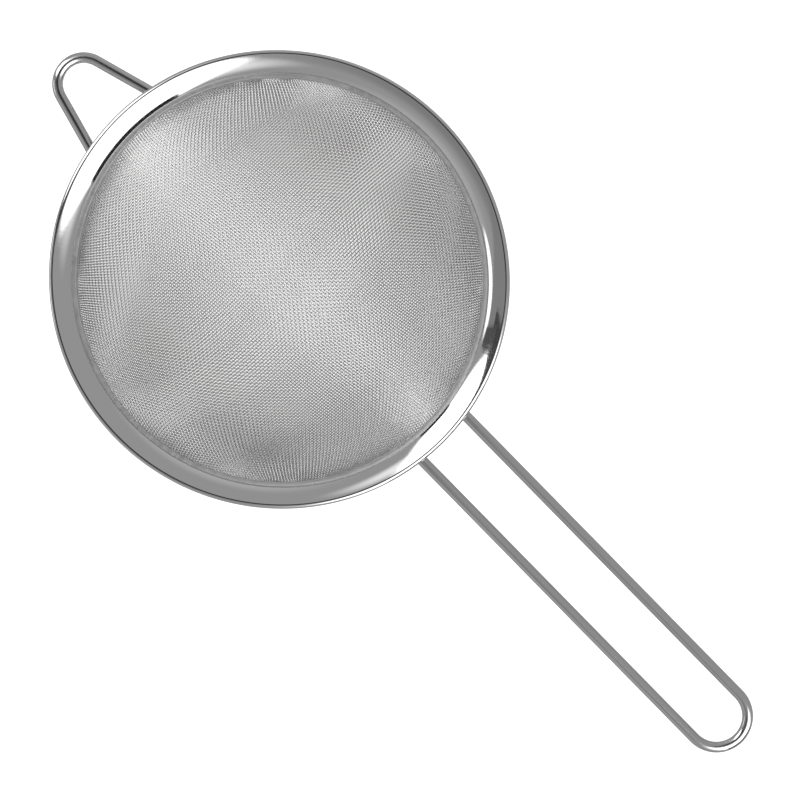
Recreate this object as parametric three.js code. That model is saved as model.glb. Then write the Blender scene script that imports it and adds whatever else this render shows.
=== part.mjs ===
// A hand strainer with a woven wire bowl, a flanged sheet-metal rim, a looped wire handle
// and a wire rest hook. Millimetres, +Z up. The origin is the lowest point of the bowl, on the
// bowl's axis. The bowl opens towards +Z, the handle runs along +X and the hook along -X.

import * as THREE from 'three';

// ---- driving dimensions ----------------------------------------------------------------

const RIM_RADIUS = 50;                 // outermost edge of the rolled rim
const SHEET = 0.45;                    // rim sheet metal
const CURL_RADIUS = 0.75;              // outside radius of the rolled edge
const FLANGE_OUTER_SLOPE = radians(18); // the flange is a bell: it leaves the curl at this slope
const FLANGE_INNER_SLOPE = radians(45); // and has this slope where it meets the neck's bend
const NECK_RADIUS = 45.2;              // inner face of the upright neck
const NECK_BEND_RADIUS = 0.8;          // where the flange turns down into the neck
const NECK_LENGTH = 3.4;

const BOWL_RADIUS = 47.2;              // sphere that the woven bowl is pressed to, outside
const BOWL_FLAT_RADIUS = 4;            // the small flat at the bottom of the bowl
const CLOTH = 0.5;                     // thickness of the woven cloth, two wires
const NECK_OVERLAP = 0.25;             // the neck ends this far above the start of the bowl

const CLAMP_SHEET = 0.35;              // inner clamp ring
const CLAMP_LIP = 0.3;                 // its lip, turned out over the cloth's cut edge
const FIT = 0.05;                      // clearance between the concentric rings

const WIRE_RADIUS = 1.2;               // handle and hook wire
const WIRE_DROP = 3.2;                 // wire centre line below the top of the rim

const HANDLE_HALF_WIDTH = 6.8;         // centre line of each leg from the handle's middle
const HANDLE_BEND_X = 134.63;          // centre of the end loop
const HANDLE_START_X = 46;             // welded ends, against the neck
const HANDLE_LEAN = radians(0.56);     // welded slightly askew, turned about the tip of the loop

const HOOK_BEND_RADIUS = 5.72;         // centre line of the hook's bend
const HOOK_BEND_X = 60.48;             // centre of the bend, measured along -X
const HOOK_SPLAY = radians(15.4);      // each leg opens from the axis by this angle
const HOOK_START_X = 45.4;

const RING_SEGMENTS = 60;
const BOWL_STEPS = 9;
const CURL_STEPS = 10;
const NECK_BEND_STEPS = 3;
const FLANGE_STEPS = 4;
const WIRE_SIDES = 12;
const LEG_STEPS = 3;
const BEND_STEPS = 18;

// ---- levels, worked out from the bottom of the bowl upwards ------------------------------

const clothRadius = NECK_RADIUS - FIT;
const sphereZ = Math.sqrt(BOWL_RADIUS ** 2 - BOWL_FLAT_RADIUS ** 2);
const bowlTop = sphereZ - Math.sqrt(BOWL_RADIUS ** 2 - clothRadius ** 2);
const neckBottom = bowlTop + NECK_OVERLAP;
const neckTop = neckBottom + NECK_LENGTH;

// The flange's upper face is one arc, tangent to the neck bend and to the curl.
const innerAngle = Math.PI / 2 + FLANGE_INNER_SLOPE;
const outerAngle = Math.PI / 2 + FLANGE_OUTER_SLOPE;
const neckBend = new THREE.Vector2(NECK_RADIUS + NECK_BEND_RADIUS, neckTop);
const curlCentreRadius = RIM_RADIUS - CURL_RADIUS;
const flangeStart = neckBend.x + NECK_BEND_RADIUS * Math.cos(innerAngle);
const flangeEnd = curlCentreRadius + CURL_RADIUS * Math.cos(outerAngle);
const bellRadius = (flangeEnd - flangeStart) / (Math.cos(outerAngle) - Math.cos(innerAngle));
const bell = new THREE.Vector2(
  neckBend.x + (NECK_BEND_RADIUS - bellRadius) * Math.cos(innerAngle),
  neckBend.y + (NECK_BEND_RADIUS - bellRadius) * Math.sin(innerAngle),
);
const curl = new THREE.Vector2(curlCentreRadius, bell.y + (bellRadius - CURL_RADIUS) * Math.sin(outerAngle));
const rimTop = curl.y + CURL_RADIUS;
const wireZ = rimTop - WIRE_DROP;

// ---- shared helpers ----------------------------------------------------------------------

function radians(degrees) {
  return THREE.MathUtils.degToRad(degrees);
}

/** Points on a circular arc, from one angle to another, in a ring's section plane. */
function arc(centre, radius, from, to, steps) {
  const points = [];
  for (let i = 0; i <= steps; i += 1) {
    const angle = from + (to - from) * i / steps;
    const x = centre.x + radius * Math.cos(angle);
    const y = centre.y + radius * Math.sin(angle);
    points.push(new THREE.Vector2(x, y));
  }
  return points;
}

/** Turns a section, drawn counter-clockwise as (radius, height), about the Z axis. */
function turned(section) {
  const geometry = new THREE.LatheGeometry(section, RING_SEGMENTS);
  geometry.rotateX(Math.PI / 2);
  return geometry;
}

/** Closes a section on itself, for a ring that doesn't reach the axis. */
function closed(section) {
  return [...section, section[0].clone()];
}

function steel(name, geometry, color, roughness) {
  const material = new THREE.MeshStandardMaterial({ color, roughness, metalness: 1 });
  const mesh = new THREE.Mesh(geometry, material);
  mesh.name = name;
  return mesh;
}

// ---- rim ring ------------------------------------------------------------------------------
// One strip of sheet: upright neck, bell-shaped flange and an open curl at the outer edge.

function rimRing() {
  const curlEnd = radians(-150);
  const innerBend = NECK_BEND_RADIUS - SHEET;
  const section = [
    new THREE.Vector2(NECK_RADIUS + SHEET, neckBottom),
    ...arc(neckBend, innerBend, Math.PI, innerAngle, NECK_BEND_STEPS),
    ...arc(bell, bellRadius - SHEET, innerAngle, outerAngle, FLANGE_STEPS).slice(1),
    ...arc(curl, CURL_RADIUS - SHEET, outerAngle, curlEnd, CURL_STEPS).slice(1),
    ...arc(curl, CURL_RADIUS, curlEnd, outerAngle, CURL_STEPS),
    ...arc(bell, bellRadius, outerAngle, innerAngle, FLANGE_STEPS).slice(1),
    ...arc(neckBend, NECK_BEND_RADIUS, innerAngle, Math.PI, NECK_BEND_STEPS).slice(1),
    new THREE.Vector2(NECK_RADIUS, neckBottom),
  ];
  return steel('rim_ring', turned(closed(section)), 0xc9c9c9, 0.16);
}

// ---- mesh bowl -----------------------------------------------------------------------------
// The woven cloth as a thin skin: a spherical bowl with an upright collar inside the neck.

function meshBowl() {
  const centre = new THREE.Vector2(0, sphereZ);
  const outerStart = -Math.acos(BOWL_FLAT_RADIUS / BOWL_RADIUS);
  const outerEnd = -Math.acos(clothRadius / BOWL_RADIUS);
  const innerRadius = BOWL_RADIUS - CLOTH;
  const collarRadius = clothRadius - CLOTH;
  const innerStart = -Math.acos(collarRadius / innerRadius);
  const innerEnd = -Math.asin((sphereZ - CLOTH) / innerRadius);
  const collarTop = neckTop - CLAMP_LIP;
  const section = [
    new THREE.Vector2(0, 0),
    ...arc(centre, BOWL_RADIUS, outerStart, outerEnd, BOWL_STEPS),
    new THREE.Vector2(clothRadius, collarTop),
    new THREE.Vector2(collarRadius, collarTop),
    ...arc(centre, innerRadius, innerStart, innerEnd, BOWL_STEPS),
    new THREE.Vector2(0, CLOTH),
  ];
  return steel('mesh_bowl', turned(section), 0xb4b4b4, 0.35);
}

// ---- clamp ring ----------------------------------------------------------------------------
// Holds the cloth's collar against the neck, with a lip turned out over the cut edge.

function clampRing() {
  const outer = clothRadius - CLOTH - FIT;
  const inner = outer - CLAMP_SHEET;
  const lipBottom = neckTop - CLAMP_LIP + FIT;
  const lipTop = lipBottom + CLAMP_SHEET;
  const section = [
    new THREE.Vector2(inner, neckBottom),
    new THREE.Vector2(outer, neckBottom),
    new THREE.Vector2(outer, lipBottom),
    new THREE.Vector2(NECK_RADIUS - FIT, lipBottom),
    new THREE.Vector2(NECK_RADIUS - FIT, lipTop),
    new THREE.Vector2(inner, lipTop),
  ];
  return steel('clamp_ring', turned(closed(section)), 0xa8a8a8, 0.25);
}

// ---- bent wires ------------------------------------------------------------------------------

/** A level wire with two legs and a round bend, symmetric about the X axis. */
class BentWire extends THREE.Curve {
  constructor(startX, bendX, bendRadius, splay) {
    super();
    this.bendX = bendX;
    this.bendRadius = bendRadius;
    this.halfTurn = Math.PI / 2 - splay;
    const tangentX = bendX + bendRadius * Math.sin(splay);
    this.legLength = (tangentX - startX) / Math.cos(splay);
    this.legShare = LEG_STEPS / (2 * LEG_STEPS + BEND_STEPS);
  }

  getPoint(t, target = new THREE.Vector3()) {
    const bendShare = 1 - 2 * this.legShare;
    const turn = THREE.MathUtils.clamp((t - this.legShare) / bendShare, 0, 1);
    const angle = this.halfTurn * (2 * turn - 1);
    const x = this.bendX + this.bendRadius * Math.cos(angle);
    const y = this.bendRadius * Math.sin(angle);
    const overrun = Math.max(this.legShare - t, t - 1 + this.legShare, 0) / this.legShare;
    const back = overrun * this.legLength;
    const side = Math.sign(angle);
    return target.set(x - back * Math.sin(this.halfTurn), y + side * back * Math.cos(this.halfTurn), wireZ);
  }

  // Stations are spaced by the parameter: many round the bend and few along the legs.
  getPointAt(u, target) {
    return this.getPoint(u, target);
  }

  getTangentAt(u, target) {
    return this.getTangent(u, target);
  }
}

function wire(name, path) {
  const section = new THREE.Shape();
  for (let i = 0; i < WIRE_SIDES; i += 1) {
    const angle = (i + 0.5) / WIRE_SIDES * 2 * Math.PI;
    const x = WIRE_RADIUS * Math.cos(angle);
    const y = WIRE_RADIUS * Math.sin(angle);
    if (i === 0) {
      section.moveTo(x, y);
    } else {
      section.lineTo(x, y);
    }
  }
  const steps = 2 * LEG_STEPS + BEND_STEPS;
  const geometry = new THREE.ExtrudeGeometry(section, { steps, bevelEnabled: false, extrudePath: path });
  return steel(name, geometry, 0xb0b0b0, 0.22);
}

function handleWire() {
  const handle = wire('handle_wire', new BentWire(HANDLE_START_X, HANDLE_BEND_X, HANDLE_HALF_WIDTH, 0));
  const tipX = HANDLE_BEND_X + HANDLE_HALF_WIDTH + WIRE_RADIUS;
  handle.rotation.z = -HANDLE_LEAN;
  handle.position.x = tipX * (1 - Math.cos(HANDLE_LEAN));
  handle.position.y = tipX * Math.sin(HANDLE_LEAN);
  return handle;
}

function hookWire() {
  const hook = wire('hook_wire', new BentWire(HOOK_START_X, HOOK_BEND_X, HOOK_BEND_RADIUS, HOOK_SPLAY));
  hook.rotation.z = Math.PI;
  return hook;
}

// ---- assembly --------------------------------------------------------------------------------

const strainer = new THREE.Group();
strainer.add(rimRing(), meshBowl(), clampRing(), handleWire(), hookWire());

export default strainer;
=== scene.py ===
import math

import bpy
import numpy as np
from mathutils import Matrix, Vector


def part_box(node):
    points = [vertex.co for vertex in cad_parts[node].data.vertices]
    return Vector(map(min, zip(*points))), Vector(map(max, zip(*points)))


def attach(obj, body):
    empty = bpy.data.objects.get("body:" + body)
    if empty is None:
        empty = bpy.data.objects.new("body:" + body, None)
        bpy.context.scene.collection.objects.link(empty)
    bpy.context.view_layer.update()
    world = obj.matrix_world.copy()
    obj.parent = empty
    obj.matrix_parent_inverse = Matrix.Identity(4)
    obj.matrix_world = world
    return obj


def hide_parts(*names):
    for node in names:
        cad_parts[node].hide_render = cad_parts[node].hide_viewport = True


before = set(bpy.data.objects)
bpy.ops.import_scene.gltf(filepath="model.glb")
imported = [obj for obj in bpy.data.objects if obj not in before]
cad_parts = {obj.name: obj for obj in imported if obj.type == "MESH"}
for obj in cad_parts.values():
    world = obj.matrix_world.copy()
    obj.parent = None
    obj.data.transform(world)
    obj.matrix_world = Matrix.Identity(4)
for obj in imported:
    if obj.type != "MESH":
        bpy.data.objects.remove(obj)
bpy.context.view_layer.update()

# A hand strainer seen from straight above. Metres, +Z up, the bowl's axis on Z, the handle
# along +X and the rest hook along -X. Sizes that the frame doesn't give are named here.

MM = 0.001
BODY = "root"

# ---- sizes -----------------------------------------------------------------------------

rim_low, rim_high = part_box("rim_ring")
bowl_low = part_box("mesh_bowl")[0]
clamp_low, clamp_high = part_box("clamp_ring")
handle_low, handle_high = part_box("handle_wire")
hook_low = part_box("hook_wire")[0]

RIM_RADIUS = rim_high.x
RIM_TOP = rim_high.z
NECK_BOTTOM = rim_low.z
SHEET = 0.45 * MM
CURL_RADIUS = 0.75 * MM
CURL_END = math.radians(-158)
FLANGE_OUTER_SLOPE = math.radians(18)
FLANGE_INNER_SLOPE = math.radians(45)
NECK_RADIUS = 45.2 * MM
NECK_BEND = 0.5 * MM
RING_SEGMENTS = 288

# The pressed ring is a hair out of round, long near the handle.
OVAL = 0.0064
OVAL_AZIMUTH = math.radians(11)

CLOTH_RADIUS = 44.86 * MM
BOWL_FLAT = 4 * MM
BOWL_SPHERE = 46.92 * MM
CLOTH_WIRE = 0.28 * MM
WARP_PITCH = 0.6016 * MM
WEFT_PITCH = 0.667 * MM
WARP_AZIMUTH = math.radians(6)
WEFT_AZIMUTH = math.radians(91.5)
WARP_BOW = 0.087
WEFT_BOW = 0.122
BOW_ROOM = 0.16
BOW_FADE = 12
NEAR_PLANE = 0.9999
WIDEST = 0.995
WARP_CRIMP = 0.9
WEFT_CRIMP = 0.1
CLOTH_COLLAR = 1.6 * MM
COLLAR_TURN = 0.6 * MM
CLOTH_SIDES = 6
CLOTH_PIECES = 4

CLAMP_SHEET = 0.35 * MM
CLAMP_OUTSIDE = 44.6 * MM
CLAMP_CORNER = 0.06 * MM
CLAMP_RAISE = 0.18 * MM
CLAMP_LIP_REACH = 0.012 * MM
CLAMP_LIP_FIT = 0.03 * MM
CLAMP_LIP_EASE = 0.02 * MM
CLAMP_LIP_SHOULDER = 0.12 * MM

WIRE_RADIUS = 1.2 * MM
WIRE_SIDES = 40
WIRE_Z = (handle_low.z + handle_high.z) / 2
HANDLE_HALF_WIDTH = 6.8 * MM
HANDLE_START_X = 46 * MM
HANDLE_LEAN = math.radians(0.56)
HOOK_BEND = 5.72 * MM
HOOK_SPLAY = math.radians(15.4)
HOOK_START_X = 45.4 * MM

# ---- meshes ----------------------------------------------------------------------------


def add_piece(name, verts, faces, grain, material, stands_for):
    """A smooth mesh piece of the strainer, riding on its one body. grain holds a vector for each vertex."""
    mesh = bpy.data.meshes.new(name)
    faces = np.asarray(faces, dtype=np.int32)
    corners = faces.shape[1]
    mesh.vertices.add(len(verts))
    mesh.vertices.foreach_set("co", np.asarray(verts, dtype=np.float32).ravel())
    mesh.loops.add(faces.size)
    mesh.loops.foreach_set("vertex_index", faces.ravel())
    mesh.polygons.add(len(faces))
    mesh.polygons.foreach_set("loop_start", np.arange(0, faces.size, corners, dtype=np.int32))
    mesh.polygons.foreach_set("use_smooth", np.ones(len(faces), dtype=bool))
    mesh.update(calc_edges=True)
    mesh.validate()
    if grain is not None:
        run = mesh.attributes.new("grain", "FLOAT_VECTOR", "POINT")
        run.data.foreach_set("vector", np.asarray(grain, dtype=np.float32).ravel())
    mesh.materials.append(material)
    piece = bpy.data.objects.new(name, mesh)
    bpy.context.scene.collection.objects.link(piece)
    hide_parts(stands_for)
    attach(piece, BODY)
    return piece


def out_of_round(verts):
    """Stretches a ring along one azimuth and narrows it across."""
    verts = np.array(verts, dtype=float)
    long = np.array([math.cos(OVAL_AZIMUTH), math.sin(OVAL_AZIMUTH)])
    wide = np.array([-long[1], long[0]])
    along, across = verts[:, :2] @ long, verts[:, :2] @ wide
    verts[:, :2] += OVAL * (along[:, None] * long - across[:, None] * wide)
    return verts


def arc(centre, radius, start, end, steps):
    """Points (radius, height) on a circular arc in a ring's section."""
    angles = np.linspace(start, end, steps + 1)
    return [(centre[0] + radius * math.cos(a), centre[1] + radius * math.sin(a)) for a in angles]


def revolve(section, segments=RING_SEGMENTS):
    """A closed section, its points counter-clockwise, turned about Z: vertices, quads and grain."""
    section = np.array(section)
    count = len(section)
    turn = np.linspace(0, 2 * math.pi, segments, endpoint=False)
    verts = np.empty((segments, count, 3))
    verts[:, :, 0] = np.cos(turn)[:, None] * section[None, :, 0]
    verts[:, :, 1] = np.sin(turn)[:, None] * section[None, :, 0]
    verts[:, :, 2] = section[None, :, 1]
    length = np.concatenate([[0], np.cumsum(np.linalg.norm(np.diff(section, axis=0), axis=1))])
    grain = np.empty_like(verts)
    grain[:, :, 0] = np.cos(turn)[:, None]
    grain[:, :, 1] = np.sin(turn)[:, None]
    grain[:, :, 2] = length[None, :] / MM
    i, j = np.meshgrid(np.arange(segments), np.arange(count), indexing="ij")
    following, above = (i + 1) % segments, (j + 1) % count
    corners = [i * count + j, following * count + j, following * count + above, i * count + above]
    return verts.reshape(-1, 3), np.stack(corners, axis=-1).reshape(-1, 4), grain.reshape(-1, 3)


def tube(points, radius, sides, up):
    """A round tube along points: vertices, quads and grain. up is one vector for each point."""
    points, up = np.asarray(points, dtype=float), np.asarray(up, dtype=float)
    radius = np.broadcast_to(radius, len(points))
    along = np.gradient(points, axis=0)
    along /= np.linalg.norm(along, axis=1)[:, None]
    side = np.cross(along, up)
    side /= np.linalg.norm(side, axis=1)[:, None]
    up = np.cross(side, along)
    turn = np.linspace(0, 2 * math.pi, sides, endpoint=False)
    ring = np.cos(turn)[None, :, None] * side[:, None, :] + np.sin(turn)[None, :, None] * up[:, None, :]
    verts = points[:, None, :] + ring * radius[:, None, None]
    length = np.concatenate([[0], np.cumsum(np.linalg.norm(np.diff(points, axis=0), axis=1))])
    grain = np.empty_like(verts)
    grain[:, :, 0] = np.cos(turn)[None, :]
    grain[:, :, 1] = np.sin(turn)[None, :]
    grain[:, :, 2] = length[:, None] / MM
    i, j = np.meshgrid(np.arange(len(points) - 1), np.arange(sides), indexing="ij")
    beside = (j + 1) % sides
    corners = [i * sides + j, (i + 1) * sides + j, (i + 1) * sides + beside, i * sides + beside]
    return verts.reshape(-1, 3), np.stack(corners, axis=-1).reshape(-1, 4), grain.reshape(-1, 3)


# ---- materials -------------------------------------------------------------------------


def steel(name, colour, roughness, spread, stretch, relief):
    """Stainless steel whose polishing lines follow the piece's grain, drawn out by stretch."""
    material = bpy.data.materials.new(name)
    material.use_nodes = True
    nodes, links = material.node_tree.nodes, material.node_tree.links
    shader = nodes["Principled BSDF"]
    shader.inputs["Metallic"].default_value = 1.0
    shader.inputs["Base Color"].default_value = (colour, colour, colour, 1)
    run = nodes.new("ShaderNodeAttribute")
    run.attribute_name = "grain"
    drawn = nodes.new("ShaderNodeMapping")
    drawn.inputs["Scale"].default_value = stretch
    links.new(run.outputs["Vector"], drawn.inputs["Vector"])
    lines = nodes.new("ShaderNodeTexNoise")
    lines.inputs["Scale"].default_value = 1.0
    lines.inputs["Detail"].default_value = 3.0
    links.new(drawn.outputs["Vector"], lines.inputs["Vector"])
    rough = nodes.new("ShaderNodeMapRange")
    rough.inputs["From Min"].default_value = 0.3
    rough.inputs["From Max"].default_value = 0.7
    rough.inputs["To Min"].default_value = roughness - spread
    rough.inputs["To Max"].default_value = roughness + spread
    links.new(lines.outputs["Fac"], rough.inputs["Value"])
    links.new(rough.outputs["Result"], shader.inputs["Roughness"])
    if relief:
        bump = nodes.new("ShaderNodeBump")
        bump.inputs["Strength"].default_value = 1.0
        bump.inputs["Distance"].default_value = relief
        links.new(lines.outputs["Fac"], bump.inputs["Height"])
        links.new(bump.outputs["Normal"], shader.inputs["Normal"])
    return material


rim_steel = steel("rim_steel", 0.66, 0.07, 0.02, (70, 70, 0.12), 0.002 * MM)
clamp_steel = steel("clamp_steel", 0.58, 0.4, 0.06, (70, 70, 0.5), 0.0)
wire_steel = steel("wire_steel", 0.6, 0.14, 0.05, (2.6, 2.6, 0.05), 0.03 * MM)
cloth_steel = steel("cloth_steel", 0.68, 0.12, 0.04, (1, 1, 0.3), 0.0)

# ---- rim and clamp ring ------------------------------------------------------------------


def rim_section():
    """Neck, bell-shaped flange and curl of one sheet, counter-clockwise from the neck's lower edge."""
    outer, inner = math.pi / 2 + FLANGE_OUTER_SLOPE, math.pi / 2 + FLANGE_INNER_SLOPE
    curl = (RIM_RADIUS - CURL_RADIUS, RIM_TOP - CURL_RADIUS)
    bend_x = NECK_RADIUS + NECK_BEND
    meet = (curl[0] + CURL_RADIUS * math.cos(outer), curl[1] + CURL_RADIUS * math.sin(outer))
    reach = meet[0] - bend_x - NECK_BEND * math.cos(inner)
    bell_radius = reach / (math.cos(outer) - math.cos(inner))
    bell = (meet[0] - bell_radius * math.cos(outer), meet[1] - bell_radius * math.sin(outer))
    bend = (bend_x, bell[1] + (bell_radius - NECK_BEND) * math.sin(inner))
    hem = (NECK_RADIUS + SHEET / 2, NECK_BOTTOM + SHEET / 2)
    middle = CURL_RADIUS - SHEET / 2
    edge = (curl[0] + middle * math.cos(CURL_END), curl[1] + middle * math.sin(CURL_END))
    return [
        *arc(hem, SHEET / 2, -math.pi / 2, 0, 3),
        *arc(bend, NECK_BEND - SHEET, math.pi, inner, 6),
        *arc(bell, bell_radius - SHEET, inner, outer, 20)[1:],
        *arc(curl, CURL_RADIUS - SHEET, outer, CURL_END, 36)[1:],
        *arc(edge, SHEET / 2, CURL_END + math.pi, CURL_END, 6)[1:-1],
        *arc(curl, CURL_RADIUS, CURL_END, outer, 48),
        *arc(bell, bell_radius, outer, inner, 28)[1:],
        *arc(bend, NECK_BEND, inner, math.pi, 12)[1:],
        *arc(hem, SHEET / 2, math.pi, 1.5 * math.pi, 3)[:-1],
    ]


def clamp_section():
    """An upright band inside the cloth's collar, its upper edge turned out to meet the neck's bend."""
    outside = CLAMP_OUTSIDE
    inside = outside - CLAMP_SHEET
    half = CLAMP_SHEET / 2
    corner = CLAMP_CORNER
    top = clamp_high.z + CLAMP_RAISE
    lip = NECK_RADIUS + CLAMP_LIP_REACH
    return [
        *arc((inside + half, clamp_low.z + half), half, math.pi, 2 * math.pi, 8),
        (outside, clamp_high.z - CLAMP_SHEET),
        (NECK_RADIUS - CLAMP_LIP_FIT, clamp_high.z - CLAMP_SHEET),
        (NECK_RADIUS - CLAMP_LIP_EASE, clamp_high.z - CLAMP_LIP_SHOULDER),
        *arc((lip - corner, top - corner), corner, 0, math.pi / 2, 4),
        *arc((inside + corner, top - corner), corner, math.pi / 2, math.pi, 4),
    ]


def add_ring(name, section, material, stands_for):
    verts, faces, grain = revolve(section)
    return add_piece(name, out_of_round(verts), faces, grain, material, stands_for)


add_ring("rim_ring_sheet", rim_section(), rim_steel, "rim_ring")
add_ring("clamp_ring_sheet", clamp_section(), clamp_steel, "clamp_ring")

# ---- woven cloth ---------------------------------------------------------------------------


def compass(azimuth, polar):
    """The unit vector at a polar angle from straight down, towards an azimuth."""
    flat = math.sin(polar)
    return Vector((flat * math.cos(azimuth), flat * math.sin(azimuth), -math.cos(polar)))


def next_knot(before_warp, before_weft, corner, warp_step, weft_step):
    """The point one step on from two neighbours, away from the corner they share.

    Where it lies almost in the plane of the neighbours and the sphere's centre, the fourth corner of a
    parallelogram is used instead. Cells that are nearly square fall there too.
    """
    a, b = 1 - warp_step**2 / 2, 1 - weft_step**2 / 2
    between = before_warp.dot(before_weft)
    share = max(1 - between**2, 1e-9)
    flat = before_warp * ((a - b * between) / share) + before_weft * ((b - a * between) / share)
    if flat.length_squared > NEAR_PLANE:
        return (before_warp + before_weft - corner).normalized()
    out = before_warp.cross(before_weft)
    out *= math.sqrt(max(1 - flat.length_squared, 0) / share)
    far, near = flat + out, flat - out
    return far if (far - corner).length_squared > (near - corner).length_squared else near


def woven_net(reach):
    """The cloth's crossings on a unit sphere. Cells shear and mostly keep their sides, but a few collapse."""
    skew = math.sin(WEFT_AZIMUTH - WARP_AZIMUTH)
    warp_step = WEFT_PITCH / BOWL_SPHERE / skew
    weft_step = WARP_PITCH / BOWL_SPHERE / skew
    along, across = int(reach / warp_step) + 2, int(reach / weft_step) + 2
    knots = {}
    for i in range(-along, along + 1):
        knots[i, 0] = compass(WARP_AZIMUTH, i * warp_step)
    for j in range(-across, across + 1):
        knots[0, j] = compass(WEFT_AZIMUTH, j * weft_step)
    for east, north in ((1, 1), (1, -1), (-1, 1), (-1, -1)):
        for i in range(1, along + 1):
            for j in range(1, across + 1):
                before_warp = knots.get((east * (i - 1), north * j))
                before_weft = knots.get((east * i, north * (j - 1)))
                corner = knots.get((east * (i - 1), north * (j - 1)))
                if before_warp is None or before_weft is None or corner.z > -math.cos(reach):
                    break
                knot = next_knot(before_warp, before_weft, corner, warp_step, weft_step)
                knots[east * i, north * j] = knot
    return knots, along, across


def bowed(knot):
    """Moves a crossing on the sphere: the wires curve in a long S, less and less near the rim."""
    warp = Vector((math.cos(WARP_AZIMUTH), math.sin(WARP_AZIMUTH)))
    across = Vector((-warp.y, warp.x))
    a, b = knot.xy.dot(warp), knot.xy.dot(across)
    give = 1 - knot.xy.length**BOW_FADE
    flat = warp * (a + WEFT_BOW * give * b**3) + across * (b + WARP_BOW * give * a**3)
    flat *= min(1, WIDEST / flat.length) if flat.length else 1
    return Vector((flat.x, flat.y, -math.sqrt(1 - flat.length_squared)))


SPHERE_Z = bowl_low.z + CLOTH_WIRE + math.sqrt(BOWL_SPHERE**2 - BOWL_FLAT**2)
COLLAR_POLAR = math.asin(CLOTH_RADIUS / BOWL_SPHERE)


def on_cloth(knots):
    """Places and outward normals on the pressed bowl for unit vectors from the sphere's centre."""
    knots = np.asarray(knots)
    polar = np.arccos(np.clip(-knots[:, 2], -1, 1))
    azimuth = np.arctan2(knots[:, 1], knots[:, 0])
    collar = np.clip(polar - COLLAR_POLAR, 0, None) * BOWL_SPHERE
    held = np.minimum(polar, COLLAR_POLAR)
    radius = BOWL_SPHERE * np.sin(held)
    height = SPHERE_Z - BOWL_SPHERE * np.cos(held) + collar
    height = np.maximum(height, bowl_low.z + CLOTH_WIRE)
    upright = np.clip(collar / COLLAR_TURN, 0, 1)
    lean = held + (math.pi / 2 - held) * upright
    lean = np.where(radius < BOWL_FLAT, lean * (radius / BOWL_FLAT) ** 2, lean)
    flat, down = np.sin(lean), -np.cos(lean)
    places = np.stack([radius * np.cos(azimuth), radius * np.sin(azimuth), height], axis=1)
    normals = np.stack([flat * np.cos(azimuth), flat * np.sin(azimuth), down], axis=1)
    return places, normals


def crimped(knots, first_over, crimp):
    """A wire's centre line: level over or under each crossing and sloping between them."""
    places, normals = on_cloth(knots)
    count = len(places)
    sign = np.where((np.arange(count) + first_over) % 2 == 0, 1.0, -1.0)
    lift = normals * (sign * CLOTH_WIRE * crimp)[:, None]
    before, after = np.clip(np.arange(count) - 1, 0, count - 1), np.clip(np.arange(count) + 1, 0, count - 1)
    early = places + (places[before] - places) * 0.25 + lift
    late = places + (places[after] - places) * 0.25 + lift
    line = np.stack([early, late], axis=1).reshape(-1, 3)
    return line, np.repeat(normals, 2, axis=0)


def wires_of(lines, parity, crimp, reach):
    """A tube for each wire of one direction of the cloth."""
    wires = []
    for number, line in enumerate(lines):
        inside = [k for k, knot in enumerate(line) if knot is not None and knot.z <= -math.cos(reach)]
        if len(inside) < 4:
            continue
        first, last = inside[0], inside[-1]
        centre, up = crimped(line[first:last + 1], number + first + parity, crimp)
        wires.append(tube(centre, CLOTH_WIRE / 2, CLOTH_SIDES, up))
    return wires


def bundles(wires, count):
    """Splits the wires into neighbouring bundles of similar size, each as one mesh."""
    share = sum(len(verts) for verts, _, _ in wires) / count
    bundle, size = [], 0
    for wire in wires:
        bundle.append(wire)
        size += len(wire[0])
        if size >= share and count > 1:
            yield merged(bundle)
            bundle, size, count = [], 0, count - 1
    yield merged(bundle)


def merged(meshes):
    starts = np.cumsum([0] + [len(verts) for verts, _, _ in meshes[:-1]])
    verts = np.concatenate([verts for verts, _, _ in meshes])
    faces = np.concatenate([faces + start for (_, faces, _), start in zip(meshes, starts)])
    grain = np.concatenate([grain for _, _, grain in meshes])
    return verts, faces, grain


def add_cloth():
    reach = COLLAR_POLAR + CLOTH_COLLAR / BOWL_SPHERE
    knots, along, across = woven_net(reach + BOW_ROOM)
    knots = {place: bowed(knot) for place, knot in knots.items()}
    columns, rows = range(-along, along + 1), range(-across, across + 1)
    warp = [[knots.get((i, j)) for i in columns] for j in rows]
    weft = [[knots.get((i, j)) for j in rows] for i in columns]
    families = (("warp", warp, 0, WARP_CRIMP), ("weft", weft, 1, WEFT_CRIMP))
    for family, lines, parity, crimp in families:
        wires = wires_of(lines, parity, crimp, reach)
        for number, (verts, faces, grain) in enumerate(bundles(wires, CLOTH_PIECES)):
            name = f"{family}_wires_{number + 1}"
            add_piece(name, out_of_round(verts), faces, grain, cloth_steel, "mesh_bowl")


add_cloth()

# ---- handle and hook -------------------------------------------------------------------------


def domed(points, radius):
    """Adds a rounded cap to both ends of a line: the longer line and its radii."""
    turns = np.linspace(0, math.pi / 2, 7)[1:] - 0.01
    caps = []
    for end, before in ((points[0], points[1]), (points[-1], points[-2])):
        out = (end - before) / np.linalg.norm(end - before)
        caps.append([end + out * radius * 0.5 * math.sin(a) for a in turns])
    thin = [radius * math.cos(a) for a in turns]
    line = np.array(caps[0][::-1] + list(points) + caps[1])
    return line, np.array(thin[::-1] + [radius] * len(points) + thin)


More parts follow.
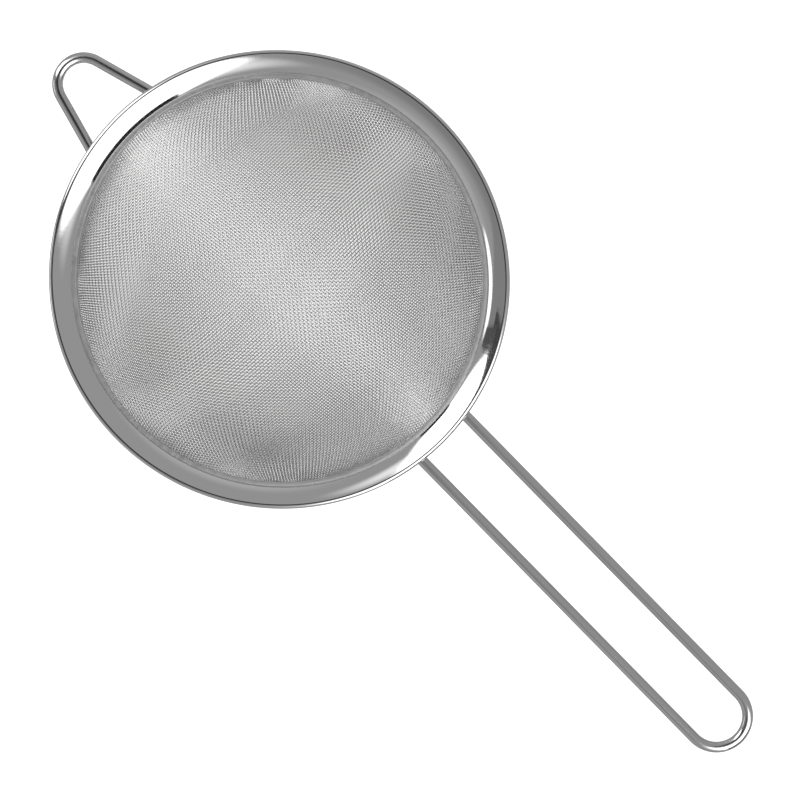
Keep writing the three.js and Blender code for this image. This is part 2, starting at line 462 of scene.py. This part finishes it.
def bent_wire(start_x, tip_x, bend_radius, splay):
    """The centre line of a level wire with two legs and a round bend, from x 0 outwards."""
    bend_x = tip_x - bend_radius
    half_turn = math.pi / 2 - splay
    leg = (bend_x + bend_radius * math.sin(splay) - start_x) / math.cos(splay)
    steps = int(leg / (1.5 * MM))
    upper = []
    for k in range(steps):
        back = leg * (1 - k / steps)
        x = bend_x + bend_radius * math.sin(splay) - back * math.cos(splay)
        y = bend_radius * math.cos(splay) + back * math.sin(splay)
        upper.append((x, y))
    turns = np.linspace(half_turn, -half_turn, 49)
    bend = [(bend_x + bend_radius * math.cos(a), bend_radius * math.sin(a)) for a in turns]
    return np.array(upper + bend + [(x, -y) for x, y in reversed(upper)])


def add_wire(name, path, stands_for):
    points = np.column_stack([path, np.full(len(path), WIRE_Z)])
    line, radii = domed(points, WIRE_RADIUS)
    up = np.tile([0.0, 0.0, 1.0], (len(line), 1))
    verts, faces, grain = tube(line, radii, WIRE_SIDES, up)
    return add_piece(name, verts, faces, grain, wire_steel, stands_for)


def turned_about(path, x, angle):
    """Turns a path about the point (x, 0)."""
    shifted = path - [x, 0]
    c, s = math.cos(angle), math.sin(angle)
    return shifted @ np.array([[c, s], [-s, c]]) + [x, 0]


handle_path = bent_wire(HANDLE_START_X, handle_high.x - WIRE_RADIUS, HANDLE_HALF_WIDTH, 0)
add_wire("handle_wire_bent", turned_about(handle_path, handle_high.x, -HANDLE_LEAN), "handle_wire")
hook_path = bent_wire(HOOK_START_X, -hook_low.x - WIRE_RADIUS, HOOK_BEND, HOOK_SPLAY)
add_wire("hook_wire_bent", -hook_path, "hook_wire")

# ---- studio ------------------------------------------------------------------------------------


def calculated(nodes, links, operation, first, second):
    """One step of arithmetic on a socket, with another socket or a number."""
    step = nodes.new("ShaderNodeMath")
    step.operation = operation
    links.new(first, step.inputs[0])
    if isinstance(second, (int, float)):
        step.inputs[1].default_value = second
    else:
        links.new(second, step.inputs[1])
    return step.outputs["Value"]


def cover_of(nodes, links, width, height, corners, edge):
    """1 over the middle of a card, easing to 0 at a rounded outline. corners 2 is an ellipse."""
    place = nodes.new("ShaderNodeTexCoord")
    split = nodes.new("ShaderNodeSeparateXYZ")
    links.new(place.outputs["Object"], split.inputs["Vector"])
    shares = []
    for axis, size in (("X", width), ("Y", height)):
        share = calculated(nodes, links, "MULTIPLY", split.outputs[axis], 2 / size)
        squared = calculated(nodes, links, "MULTIPLY", share, share)
        shares.append(calculated(nodes, links, "POWER", squared, corners / 2))
    reach = calculated(nodes, links, "POWER", calculated(nodes, links, "ADD", *shares), 1 / corners)
    ease = nodes.new("ShaderNodeMapRange")
    ease.interpolation_type = "SMOOTHSTEP"
    ease.inputs["From Min"].default_value = 1 - edge
    ease.inputs["From Max"].default_value = 1.0
    ease.inputs["To Min"].default_value = 1.0
    ease.inputs["To Max"].default_value = 0.0
    links.new(reach, ease.inputs["Value"])
    return ease.outputs["Result"]


def card_paint(name, width, height, corners, edge, radiance):
    """An even glow that fades out towards the card's outline."""
    material = bpy.data.materials.new(name)
    material.use_nodes = True
    nodes, links = material.node_tree.nodes, material.node_tree.links
    nodes.clear()
    clear = nodes.new("ShaderNodeBsdfTransparent")
    light = nodes.new("ShaderNodeEmission")
    light.inputs["Strength"].default_value = radiance
    mix = nodes.new("ShaderNodeMixShader")
    out = nodes.new("ShaderNodeOutputMaterial")
    links.new(cover_of(nodes, links, width, height, corners, edge), mix.inputs["Fac"])
    links.new(clear.outputs["BSDF"], mix.inputs[1])
    links.new(light.outputs["Emission"], mix.inputs[2])
    links.new(mix.outputs["Shader"], out.inputs["Surface"])
    return material


def card(name, azimuth, elevation, distance, width, height, corners, edge, radiance, roll=0):
    """A soft-edged card facing the rim, seen only in the metal."""
    mesh = bpy.data.meshes.new(name)
    x, y = width / 2, height / 2
    mesh.from_pydata([(-x, -y, 0), (x, -y, 0), (x, y, 0), (-x, y, 0)], [], [(0, 1, 2, 3)])
    mesh.materials.append(card_paint(name, width, height, corners, edge, radiance))
    flag = bpy.data.objects.new(name, mesh)
    bpy.context.scene.collection.objects.link(flag)
    flag.visible_camera = False
    flag.visible_diffuse = False
    flag.visible_shadow = False
    flag.visible_transmission = False
    a, e = math.radians(azimuth), math.radians(elevation)
    towards = Vector((math.cos(a) * math.cos(e), math.sin(a) * math.cos(e), math.sin(e)))
    flag.location = Vector((0, 0, RIM_TOP)) + towards * distance
    flag.rotation_euler = (math.pi / 2 - e, 0, a + math.pi / 2)
    flag.rotation_euler.rotate_axis("Z", math.radians(roll))
    return flag


FLOOR_HALF = 6.0
FLOOR_DROP = 0.2 * MM
# Painted shadow on the floor: its glow is turned down under the bowl, easing between the two radii that
# follow.
FLOOR_PAINTED_SHADOW = 0.87
FLOOR_OPEN = 1.15
PAINTED_SHADOW_INSIDE = 34 * MM
PAINTED_SHADOW_OUTSIDE = 48 * MM
GLOW_RADIUS = 56 * MM
GLOW_DROP = 0.1 * MM
GLOW = 0.6
GLOW_SIDES = 96


def floor():
    """A pale glowing floor with a painted shadow: its glow is turned down under the bowl. The metal doesn't
    mirror it.
    """
    mesh = bpy.data.meshes.new("floor")
    size = FLOOR_HALF
    outline = [(-size, -size, 0), (size, -size, 0), (size, size, 0), (-size, size, 0)]
    mesh.from_pydata(outline, [], [(0, 1, 2, 3)])
    material = bpy.data.materials.new("floor_glow_painted_shadow")
    material.use_nodes = True
    shader = material.node_tree.nodes["Principled BSDF"]
    shader.inputs["Base Color"].default_value = (0.2, 0.2, 0.2, 1)
    shader.inputs["Roughness"].default_value = 1.0
    shader.inputs["Specular IOR Level"].default_value = 0.0
    shader.inputs["Emission Color"].default_value = (1, 1, 1, 1)
    nodes, links = material.node_tree.nodes, material.node_tree.links
    place = nodes.new("ShaderNodeTexCoord")
    reach = nodes.new("ShaderNodeVectorMath")
    reach.operation = "LENGTH"
    links.new(place.outputs["Object"], reach.inputs[0])
    # Painted shadow: the floor's glow is weaker under the bowl and eases up to full outside it.
    shade = nodes.new("ShaderNodeMapRange")
    shade.interpolation_type = "SMOOTHSTEP"
    shade.inputs["From Min"].default_value = PAINTED_SHADOW_INSIDE
    shade.inputs["From Max"].default_value = PAINTED_SHADOW_OUTSIDE
    shade.inputs["To Min"].default_value = FLOOR_PAINTED_SHADOW
    shade.inputs["To Max"].default_value = FLOOR_OPEN
    links.new(reach.outputs["Value"], shade.inputs["Value"])
    links.new(shade.outputs["Result"], shader.inputs["Emission Strength"])
    mesh.materials.append(material)
    plane = bpy.data.objects.new("floor", mesh)
    bpy.context.scene.collection.objects.link(plane)
    plane.location.z = -FLOOR_DROP
    plane.visible_glossy = False
    plane.visible_diffuse = False


def glow_below():
    """A dimmer disc in place of the floor under the bowl, seen only in the metal."""
    turn = np.linspace(0, 2 * math.pi, GLOW_SIDES, endpoint=False)
    mesh = bpy.data.meshes.new("glow_below")
    outline = [(GLOW_RADIUS * math.cos(a), GLOW_RADIUS * math.sin(a), 0) for a in turn]
    mesh.from_pydata(outline, [], [tuple(range(GLOW_SIDES))])
    material = bpy.data.materials.new("glow_below")
    material.use_nodes = True
    nodes, links = material.node_tree.nodes, material.node_tree.links
    nodes.clear()
    light = nodes.new("ShaderNodeEmission")
    light.inputs["Strength"].default_value = GLOW
    out = nodes.new("ShaderNodeOutputMaterial")
    links.new(light.outputs["Emission"], out.inputs["Surface"])
    mesh.materials.append(material)
    disc = bpy.data.objects.new("glow_below", mesh)
    bpy.context.scene.collection.objects.link(disc)
    disc.location.z = -GLOW_DROP
    disc.visible_camera = False
    disc.visible_diffuse = False
    disc.visible_shadow = False


def surroundings(pale, grey):
    """Pale to the eye and on the floor, middle grey where the metal mirrors it."""
    world = bpy.data.worlds.new("studio")
    bpy.context.scene.world = world
    world.use_nodes = True
    nodes, links = world.node_tree.nodes, world.node_tree.links
    nodes.clear()
    ray = nodes.new("ShaderNodeLightPath")
    mix = nodes.new("ShaderNodeMixShader")
    out = nodes.new("ShaderNodeOutputWorld")
    for socket, shade in ((1, pale), (2, grey)):
        background = nodes.new("ShaderNodeBackground")
        background.inputs["Color"].default_value = (shade, shade, shade, 1)
        links.new(background.outputs["Background"], mix.inputs[socket])
    links.new(ray.outputs["Is Glossy Ray"], mix.inputs["Fac"])
    links.new(mix.outputs["Shader"], out.inputs["Surface"])


CAMERA_HEIGHT = 0.75
FRAME_WIDTH = 173.9 * MM
AIM_X = 37.07 * MM


def camera():
    lens = bpy.data.cameras.new("camera")
    lens.sensor_width = 36
    lens.lens = 36 * CAMERA_HEIGHT / FRAME_WIDTH
    lens.clip_start, lens.clip_end = 0.01, 20
    eye = bpy.data.objects.new("camera", lens)
    bpy.context.scene.collection.objects.link(eye)
    eye.location = (AIM_X, 0, RIM_TOP - CURL_RADIUS + CAMERA_HEIGHT)
    eye.rotation_euler = (0, 0, math.radians(45))
    bpy.context.scene.camera = eye


camera()
floor()
glow_below()
surroundings(0.9, 0.42)
card("softbox_handle_side", -2.5, 38, 0.9, 0.98, 1.24, 2.6, 0.24, 2.7)
card("halo_handle_side", -5, 37, 0.95, 1.9, 1.1, 2.0, 0.85, 1.6)
card("softbox_hook_side", 187.5, 37, 0.9, 0.48, 1.2, 3.0, 0.22, 2.7)
card("halo_hook_side", 170, 43, 0.95, 0.64, 0.6, 2.0, 0.85, 1.2)
card("flag_overhead", 180, 81, 0.68, 0.62, 0.36, 6.0, 0.2, 0.05)
card("flag_low_handle_side", 0.4, 7.4, 0.6, 0.4, 0.254, 24.0, 0.05, 0.02)
card("flag_low_hook_side", 182.5, 5.0, 0.6, 0.125, 0.12, 12.0, 0.08, 0.03)
card("flag_beside_hook", 207.5, 40, 0.7, 0.08, 0.8, 10.0, 0.2, 0.1, roll=2)
card("flag_over_hook", 204.5, 54, 0.7, 0.11, 0.5, 8.0, 0.15, 0.07, roll=17)
card("grey_beside_hook", 216, 50, 1.0, 0.6, 1.36, 2.2, 0.1, 0.3)
card("strip_beside_hook", 222.5, 10.5, 0.8, 0.46, 0.2, 2.6, 0.3, 1.9)
card("horizon_right", -100, 4, 0.95, 1.9, 1.0, 2.0, 0.9, 0.56)
card("horizon_left", 120, 4, 0.95, 1.7, 0.9, 2.0, 0.9, 0.56)
card("shade_right", -100, 56, 0.95, 1.5, 1.0, 2.0, 0.85, 0.29)
bpy.context.scene.view_settings.view_transform = "Standard"
